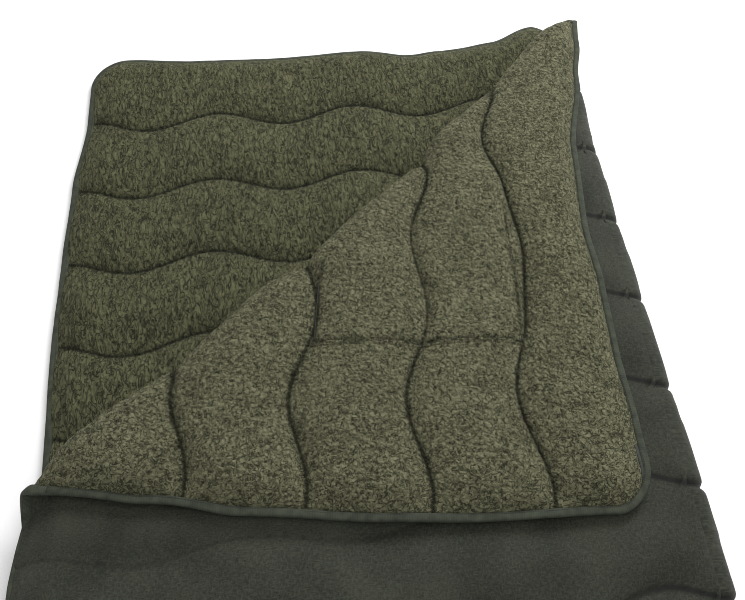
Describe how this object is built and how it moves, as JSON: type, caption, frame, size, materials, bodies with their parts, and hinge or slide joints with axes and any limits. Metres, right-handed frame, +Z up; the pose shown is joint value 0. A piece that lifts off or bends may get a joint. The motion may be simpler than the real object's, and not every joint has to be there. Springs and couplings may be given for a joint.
{
  "type": "camp blanket",
  "caption": "Quilted camp blanket with fleece lining, woven shell and bound edge, folded in half with one corner turned back.",
  "frame": {"origin": "on the ground, at the middle of the folded blanket's plan", "axes": "+X across the blanket towards the folded side, +Y towards the head edge, +Z up"},
  "size_m": [0.8599, 2.1, 0.0934],
  "materials": {
    "shell_cloth": "matte",
    "wadding": "matte",
    "fleece_lining": "matte",
    "binding_tape": "satin",
    "sewing_thread": "satin",
    "corner_tape": "satin"
  },
  "bodies": {
    "lower_half": {"lower_shell": "shell_cloth", "lower_wadding": "wadding", "lower_lining": "fleece_lining", "lower_binding": "binding_tape", "lower_binding_thread": "sewing_thread", "lower_quilt_thread": "sewing_thread", "side_fold_shell": "shell_cloth", "side_fold_wadding": "wadding", "side_fold_lining": "fleece_lining", "side_fold_head_binding": "binding_tape", "side_fold_foot_binding": "binding_tape"},
    "upper_half": {"upper_shell": "shell_cloth", "upper_wadding": "wadding", "upper_lining": "fleece_lining", "upper_binding": "binding_tape", "upper_binding_thread": "sewing_thread", "upper_quilt_thread": "sewing_thread", "corner_fold_shell": "shell_cloth", "corner_fold_wadding": "wadding", "corner_fold_lining": "fleece_lining", "corner_fold_binding": "binding_tape"},
    "turned_corner": {"corner_shell": "shell_cloth", "corner_wadding": "wadding", "corner_lining": "fleece_lining", "corner_binding": "binding_tape", "corner_binding_thread": "sewing_thread", "corner_quilt_thread": "sewing_thread", "pocket_panel": "fleece_lining", "pocket_thread": "sewing_thread", "corner_tape": "corner_tape"}
  },
  "joints": [
    {"name": "side_fold", "type": "hinge", "parent": "lower_half", "child": "upper_half", "pos_m": [0.4115, 0, 0.0305], "axis": [0, 1, 0], "range_deg": [0, 180], "deforming": ["side_fold_shell", "side_fold_wadding", "side_fold_lining", "side_fold_head_binding", "side_fold_foot_binding"]},
    {"name": "corner_fold", "type": "hinge", "parent": "upper_half", "child": "turned_corner", "pos_m": [0.432, 1.05, 0.0621], "axis": [-0.7372, -0.6756, 0], "range_deg": [0, 180], "deforming": ["corner_fold_shell", "corner_fold_wadding", "corner_fold_lining", "corner_fold_binding"]}
  ]
}
